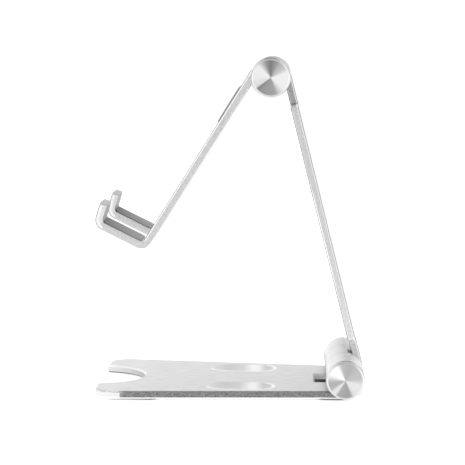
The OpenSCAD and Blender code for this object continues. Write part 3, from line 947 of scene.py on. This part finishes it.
# ---------------------------------------------------------------- studio
def camera():
    """The view along the hinges, a little from above."""
    yaw, pitch, roll = (math.radians(a) for a in CAMERA_TURN)
    ahead = Vector((-math.sin(yaw) * math.cos(pitch), math.cos(yaw) * math.cos(pitch),
                    -math.sin(pitch)))
    right0 = ahead.cross(Vector((0, 0, 1))).normalized()
    up0 = right0.cross(ahead)
    right = right0 * math.cos(roll) + up0 * math.sin(roll)
    up = up0 * math.cos(roll) - right0 * math.sin(roll)
    data = bpy.data.cameras.new("camera")
    data.sensor_width = 36.0
    data.lens = CAMERA_LENS
    data.clip_start, data.clip_end = 0.01, 20.0
    cam = bpy.data.objects.new("camera", data)
    turn = Matrix((right, up, -ahead)).transposed().to_4x4()
    cam.matrix_world = Matrix.Translation(LOWER + Vector(CAMERA_FROM_AXIS) * MM) @ turn
    bpy.context.scene.collection.objects.link(cam)
    bpy.context.scene.camera = cam


def area_light(name, at, target, size, power):
    """A square light that faces its target."""
    data = bpy.data.lights.new(name, "AREA")
    data.shape, data.size, data.energy = "SQUARE", size, power
    lamp = bpy.data.objects.new(name, data)
    lamp.location = at
    lamp.rotation_mode = "QUATERNION"
    lamp.rotation_quaternion = (Vector(target) - Vector(at)).to_track_quat("-Z", "Y")
    bpy.context.scene.collection.objects.link(lamp)


def glow_beside_slot(tree):
    """The floor's glow, everywhere but under the base's slot, where the unlit patch is a painted
    shade.
    """
    shares = []
    for axis, centre in (("X", SLOT_SHADE_X), ("Y", 0.0)):
        offset = add(tree, "ShaderNodeMath", operation="SUBTRACT")
        tree.links.new(along(tree, axis), offset.inputs[0])
        offset.inputs[1].default_value = centre
        size = add(tree, "ShaderNodeMath", operation="ABSOLUTE")
        tree.links.new(offset.outputs[0], size.inputs[0])
        shares.append(scaled(tree, size.outputs[0], 0.0, FLOOR_GLOW, *SLOT_SHADE))
    most = add(tree, "ShaderNodeMath", operation="MAXIMUM")
    for i in (0, 1):
        tree.links.new(shares[i], most.inputs[i])
    return most.outputs[0]


def surroundings():
    """A white world, a little darker at the sides than behind the viewer and the object."""
    world = bpy.data.worlds.new("studio")
    bpy.context.scene.world = world
    world.use_nodes = True
    tree = world.node_tree
    where = add(tree, "ShaderNodeTexCoord")
    parts = add(tree, "ShaderNodeSeparateXYZ")
    tree.links.new(where.outputs["Generated"], parts.inputs[0])
    shade = ramp(tree, scaled(tree, parts.outputs["Y"], 0.0, 1.0, start=-1.0), WORLD_STOPS)
    tree.nodes["Background"].inputs["Strength"].default_value = 1.0
    tree.links.new(shade, tree.nodes["Background"].inputs["Color"])


def white_floor():
    """A plain floor that glows a little, so that it is as white as the backdrop."""
    bm = bmesh.new()
    corners = [(-FLOOR_HALF_W, FLOOR_NEAR), (FLOOR_HALF_W, FLOOR_NEAR),
               (FLOOR_HALF_W, FLOOR_FAR), (-FLOOR_HALF_W, FLOOR_FAR)]
    bm.faces.new([bm.verts.new((x, y, -FLOOR_DROP)) for x, y in corners])
    mesh = bpy.data.meshes.new("floor")
    bm.to_mesh(mesh)
    bm.free()
    mat, tree, shader = material("white_floor")
    speck = object_noise(tree, 60.0, 2.0, 0.5)
    tree.links.new(ramp(tree, speck, [(0.0, 0.93), (1.0, 0.95)]), shader.inputs["Base Color"])
    shader.inputs["Roughness"].default_value = 0.8
    shader.inputs["Emission Color"].default_value = (1, 1, 1, 1)
    tree.links.new(glow_beside_slot(tree), shader.inputs["Emission Strength"])
    mesh.materials.append(mat)
    floor = bpy.data.objects.new("floor", mesh)
    bpy.context.scene.collection.objects.link(floor)


def studio():
    surroundings()
    area_light("top_light", at=(0.0, 0.1, 0.9), target=(0, 0, 0.05), size=0.8, power=0.8)
    area_light("left_light", at=(-0.9, -0.3, 0.5), target=(0, 0, 0.06), size=0.6, power=0.6)
    white_floor()
    bpy.context.scene.view_settings.view_transform = "Standard"


def main():
    camera()
    near, far = -1, 1
    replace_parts(base_panel(), "base_plate")
    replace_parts(arm_panel(), "arm_plate")
    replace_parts(holder_panel(), "holder_plate")
    for sign, word, pocket in ((near, "near", HEAD_SEAT), (far, "far", SPRING_SEAT)):
        outer_knuckle("lower_knuckle_" + word, "base", LOWER, sign, pocket, 0)
        outer_knuckle("upper_knuckle_" + word, "holder", UPPER, sign, pocket, 1, holder_swell)
    middle_knuckle("lower_knuckle_middle", LOWER, 0)
    middle_knuckle("upper_knuckle_middle", UPPER, 1)
    for level, (word, body, centre, stops) in enumerate((
            ("lower", "base", LOWER, LOWER_CAP_REFLECTIONS), ("upper", "holder", UPPER, UPPER_CAP_REFLECTIONS))):
        # the turned faces carry painted reflections
        face = turned(word + "_turned_face", stops, centre)
        end_cap(word + "_cap_near", body, centre, near, level, face)
        end_cap(word + "_cap_far", body, centre, far, level, face)
    hook_pads()
    back_pad()
    feet()
    dress_inner_nodes()
    studio()


main()
